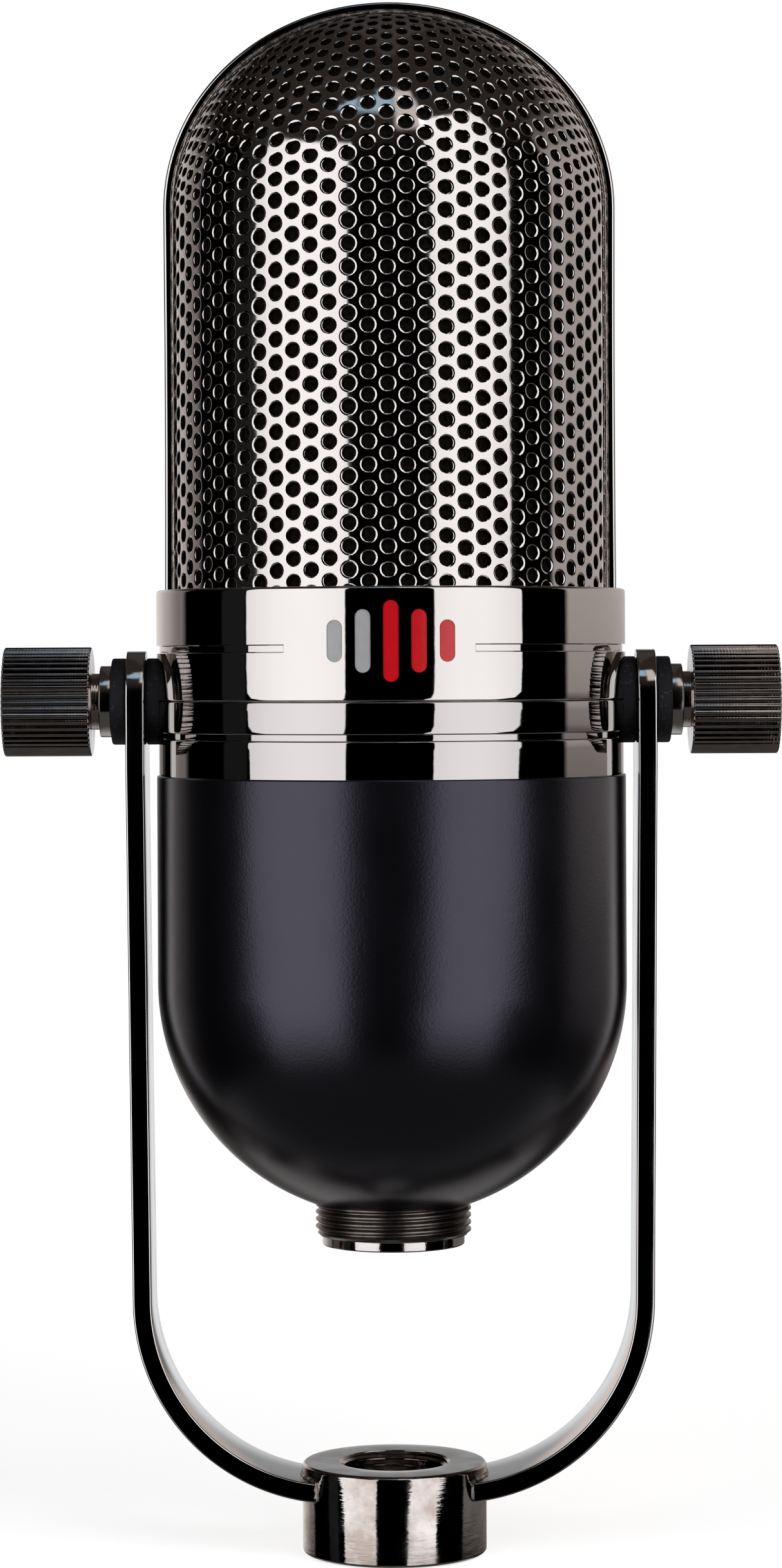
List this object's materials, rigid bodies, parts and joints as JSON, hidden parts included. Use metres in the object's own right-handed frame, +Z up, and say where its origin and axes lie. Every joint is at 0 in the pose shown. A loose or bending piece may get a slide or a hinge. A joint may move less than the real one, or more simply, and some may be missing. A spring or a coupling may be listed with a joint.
{
  "type": "ribbon microphone",
  "caption": "Side-address ribbon microphone with a domed perforated grille, hung in a tilting two-arm yoke with thumb knobs and a threaded stand boss.",
  "frame": {"origin": "on the stand thread's axis, at the bottom face of the yoke's boss", "axes": "+Z up along the stand thread, towards the grille's crown; -Y the front, with the badge; +X to the right as seen from the front, along the tilt axis"},
  "size_m": [0.1154, 0.07, 0.2307],
  "materials": {
    "black_nickel": "polished black nickel plate",
    "black_coat": "satin black powder coat",
    "dark_nickel_thread": "black nickel plate over a machined thread",
    "black_rubber": "matt black rubber",
    "black_cloth": "black acoustic cloth",
    "grey_enamel": "grey enamel fill",
    "red_enamel": "red enamel fill",
    "insulator_plastic": "black moulded insulator",
    "gold_contacts": "gold plated contacts",
    "zinc_steel": "bright zinc plated steel",
    "magnet_nickel": "nickel plated magnet",
    "brass": "machined brass",
    "cast_frame": "machined aluminium",
    "ribbon_foil": "bright corrugated foil",
    "core_steel": "laminated transformer steel",
    "winding_tape": "yellow winding tape",
    "lead_jacket": "black insulated wire"
  },
  "bodies": {
    "yoke": {"stand_boss": "black_nickel", "yoke_arm_left": "black_nickel", "yoke_arm_right": "black_nickel"},
    "head": {"grille_front": "black_nickel", "grille_rear": "black_nickel", "grille_hoop": "black_nickel", "cloth_front": "black_cloth", "cloth_rear": "black_cloth", "collar_upper": "black_nickel", "collar_middle": "black_nickel", "collar_lower": "black_nickel", "badge_inlay_grey": "grey_enamel", "badge_inlay_red": "red_enamel", "body_bowl": "black_coat", "connector_sleeve": "dark_nickel_thread", "connector_nut": "dark_nickel_thread", "xlr_insert": "insulator_plastic", "xlr_pins": "gold_contacts", "chassis_ring": "cast_frame", "chassis_plate": "zinc_steel", "chassis_screws": "zinc_steel", "trunnion_bush_left": "brass", "trunnion_bush_right": "brass", "inner_washer_left": "black_rubber", "inner_washer_right": "black_rubber", "isolation_grommets": "black_rubber", "motor_mount_screws": "zinc_steel", "motor_base": "zinc_steel", "motor_top": "zinc_steel", "return_bar_left": "zinc_steel", "return_bar_right": "zinc_steel", "motor_screws": "zinc_steel", "magnet_left": "magnet_nickel", "magnet_right": "magnet_nickel", "pole_piece_left": "zinc_steel", "pole_piece_right": "zinc_steel", "ribbon": "ribbon_foil", "ribbon_clamp_top": "brass", "ribbon_clamp_bottom": "brass", "clamp_screws": "brass", "clamp_insulators": "insulator_plastic", "standoffs": "brass", "transformer_plate": "zinc_steel", "transformer_core": "core_steel", "transformer_winding": "winding_tape", "transformer_bracket": "zinc_steel", "ribbon_leads": "lead_jacket", "output_leads": "lead_jacket"},
    "left_clamp": {"outer_washer_left": "black_rubber", "thrust_washer_left": "black_nickel"},
    "left_knob": {"knob_left": "black_nickel", "stud_left": "zinc_steel"},
    "right_clamp": {"outer_washer_right": "black_rubber", "thrust_washer_right": "black_nickel"},
    "right_knob": {"knob_right": "black_nickel", "stud_right": "zinc_steel"}
  },
  "joints": [
    {"name": "head_tilt", "type": "hinge", "parent": "yoke", "child": "head", "pos_m": [0, 0, 0.1269], "axis": [1, 0, 0], "continuous": true},
    {"name": "left_clamp_slide", "type": "slide", "parent": "head", "child": "left_clamp", "axis": [-1, 0, 0], "range_m": [0, 0.008]},
    {"name": "left_knob_turn", "type": "hinge", "parent": "left_clamp", "child": "left_knob", "pos_m": [-0.05, 0, 0.1269], "axis": [-1, 0, 0], "range_deg": [0, 3610]},
    {"name": "right_clamp_slide", "type": "slide", "parent": "head", "child": "right_clamp", "axis": [1, 0, 0], "range_m": [0, 0.008]},
    {"name": "right_knob_turn", "type": "hinge", "parent": "right_clamp", "child": "right_knob", "pos_m": [0.05, 0, 0.1269], "axis": [1, 0, 0], "range_deg": [0, 3610]}
  ],
  "couplings": [
    {"joint": "left_knob_turn", "follows": "left_clamp_slide", "rad_per_m": 7854},
    {"joint": "right_knob_turn", "follows": "right_clamp_slide", "rad_per_m": 7854}
  ]
}
